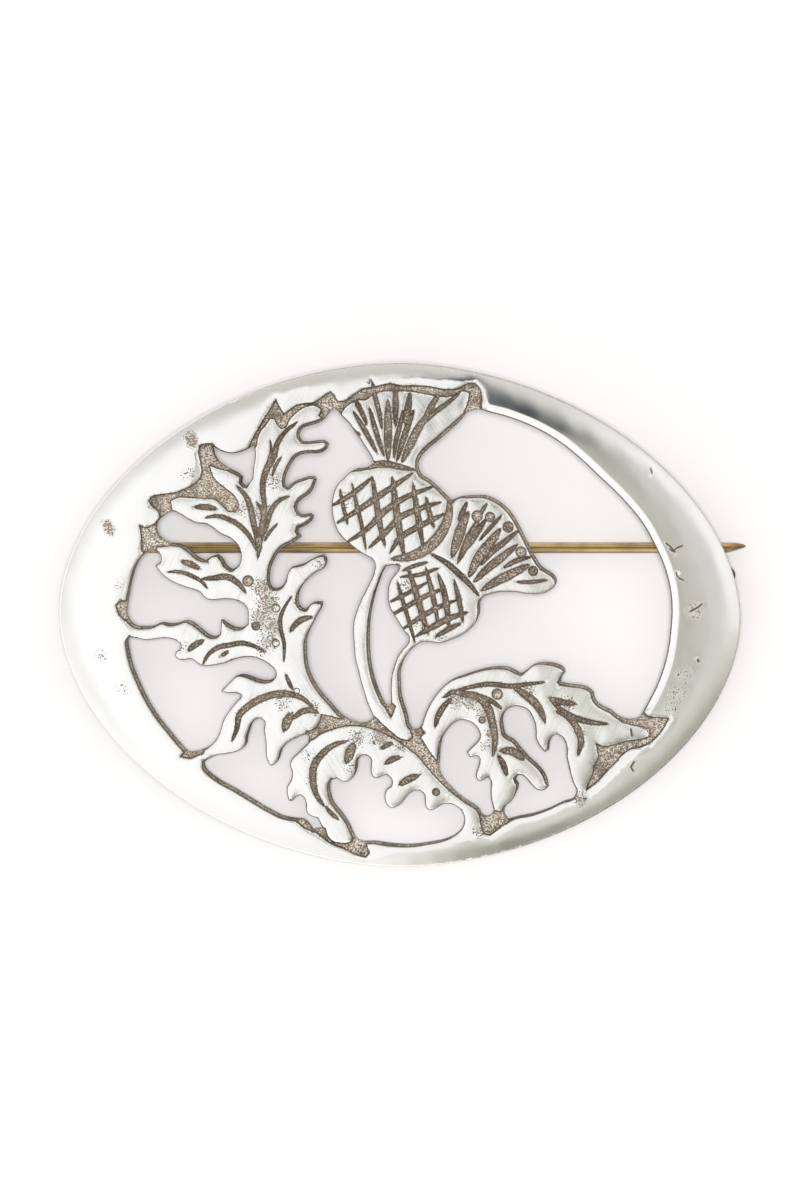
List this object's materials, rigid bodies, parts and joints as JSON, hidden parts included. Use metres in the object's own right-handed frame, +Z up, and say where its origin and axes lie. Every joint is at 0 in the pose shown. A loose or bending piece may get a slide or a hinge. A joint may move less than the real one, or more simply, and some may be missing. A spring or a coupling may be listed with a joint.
{
  "type": "plaid brooch",
  "caption": "Oval domed openwork brooch with thistles and leaves inside a plain frame, a hinged pin across its hollow back and an open catch.",
  "frame": {"origin": "on the surface that the brooch lies on, under the middle of its box", "axes": "+X along the pin from its hinge to its point, +Y towards the upper edge of the plate, +Z up out of the decorated face"},
  "size_m": [0.0688, 0.0503, 0.0064],
  "materials": {
    "silver": "polished cast silver, oxidised brown in the sunk ground and the cuts",
    "brass": "drawn brass wire, lightly tarnished"
  },
  "bodies": {
    "brooch": {"openwork_plate": "silver", "hinge_rivet": "silver"},
    "pin": {"pin_stem": "brass"}
  },
  "joints": [
    {"name": "pin_hinge", "type": "hinge", "parent": "brooch", "child": "pin", "pos_m": [-0.0296, 0.00687, 0.0011], "axis": [0, 0.9962, 0.0874], "range_deg": [0, 100]}
  ]
}
